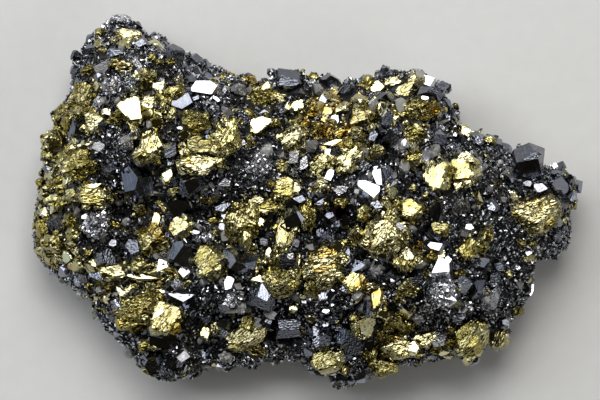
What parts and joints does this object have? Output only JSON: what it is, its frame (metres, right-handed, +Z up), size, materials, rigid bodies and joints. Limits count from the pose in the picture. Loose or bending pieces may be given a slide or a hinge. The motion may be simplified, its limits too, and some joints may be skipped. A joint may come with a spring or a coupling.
{
  "type": "chalcopyrite specimen",
  "caption": "Cabinet mineral specimen: a domed crust of brassy chalcopyrite crystals grown together with dark sphalerite and silvery galena, cut flat to rest on.",
  "frame": {"origin": "centre of the bounding box at the flat cut underneath", "axes": "+Z up out of the flat cut, +X along the specimen's length, +Y towards its tall corner peak"},
  "size_m": [0.108, 0.075, 0.0283],
  "materials": {
    "chalcopyrite": "brassy metallic crystals, bright where smooth and striated elsewhere",
    "sphalerite": "glossy black crystals with a blue-grey sheen",
    "galena": "silvery metallic cleavage faces",
    "quartz": "small grey glassy grains",
    "ore_crust": "fine dark crystals with a dull sparkle, duller on the cut underside"
  },
  "bodies": {
    "root": {"chalcopyrite_specimen": "chalcopyrite"}
  },
  "joints": []
}
